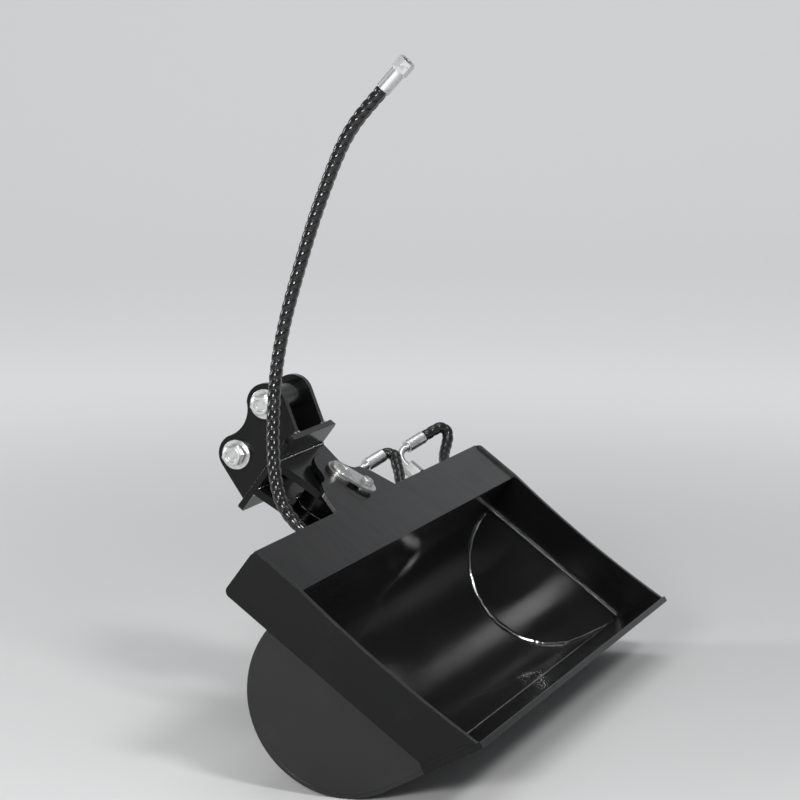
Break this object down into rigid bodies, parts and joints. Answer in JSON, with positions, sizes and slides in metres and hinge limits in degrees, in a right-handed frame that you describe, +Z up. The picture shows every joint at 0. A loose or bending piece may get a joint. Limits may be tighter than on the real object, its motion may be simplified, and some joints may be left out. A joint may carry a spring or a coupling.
{
  "type": "hydraulic tilt bucket",
  "caption": "Wide excavator tilt bucket: rolled shell with side blades and a lip, hung from a headstock that a hidden hydraulic cylinder tilts, with two guarded hoses.",
  "frame": {"origin": "middle of the front coupler pin, which holds the part up as carried", "axes": "+X along the coupler pins and the cutting edge, to the right seen from the open side; +Z up as the bucket is carried; the tilt axis slopes down to the back in the YZ plane"},
  "size_m": [1, 0.5753, 1.0439],
  "materials": {
    "black_paint": "gloss black paint, lightly dusted",
    "zinc_plate": "bright zinc plating",
    "bronze": "plain turned bronze",
    "seal_rubber": "matt moulded rubber",
    "hose_cover": "black rubber under a black spiral guard",
    "bare_steel": "turned bare steel, oiled",
    "hard_chrome": "ground hard chrome"
  },
  "bodies": {
    "coupler": {"base_flange": "black_paint", "front_cheek": "black_paint", "rear_cheek": "black_paint", "left_ear": "black_paint", "right_ear": "black_paint", "hub_tube": "black_paint", "hub_bushes": "bronze", "front_pin": "zinc_plate", "rear_pin": "zinc_plate", "pin_washers": "zinc_plate", "lock_washers": "zinc_plate", "pin_end_bolts": "zinc_plate", "spacer_sleeve": "black_paint", "crank_pin": "zinc_plate", "grease_nipple": "zinc_plate", "hose_a": "hose_cover", "hose_b": "hose_cover", "hose_a_ferrule": "zinc_plate", "hose_b_ferrule": "zinc_plate", "hose_a_nut": "zinc_plate", "hose_b_nut": "zinc_plate"},
    "bucket": {"base_cap": "black_paint", "base_pin": "zinc_plate", "bucket_shell": "black_paint", "cutting_edge": "black_paint", "cylinder_barrel": "black_paint", "cylinder_lugs": "black_paint", "flag_bolt": "zinc_plate", "flag_pads": "black_paint", "front_plate": "black_paint", "gland": "black_paint", "gussets": "black_paint", "hose_elbows": "zinc_plate", "left_end_plate": "black_paint", "left_side_blade": "black_paint", "pin_flag": "zinc_plate", "port_bosses": "black_paint", "port_ferrules": "zinc_plate", "port_nuts": "zinc_plate", "rear_pivot_plate": "black_paint", "right_end_plate": "black_paint", "right_side_blade": "black_paint", "rod_wiper": "seal_rubber", "thrust_washers": "bronze", "tilt_pin": "zinc_plate"},
    "rod": {"rod_eye": "black_paint", "cylinder_rod": "hard_chrome", "piston": "bare_steel", "piston_seal": "seal_rubber", "piston_nut": "bare_steel"}
  },
  "joints": [
    {"name": "bucket_tilt", "type": "hinge", "parent": "coupler", "child": "bucket", "pos_m": [0, -0.07143, -0.15457], "axis": [0, 0.5962, -0.8028], "range_deg": [-40, 40], "deforming": ["hose_a", "hose_b"]},
    {"name": "rod_stroke", "type": "slide", "parent": "bucket", "child": "rod", "axis": [1, 0, 0], "range_m": [-0.049, 0.049]}
  ],
  "couplings": [
    {"joint": "rod_stroke", "follows": "bucket_tilt", "m_per_rad": 0.07}
  ]
}
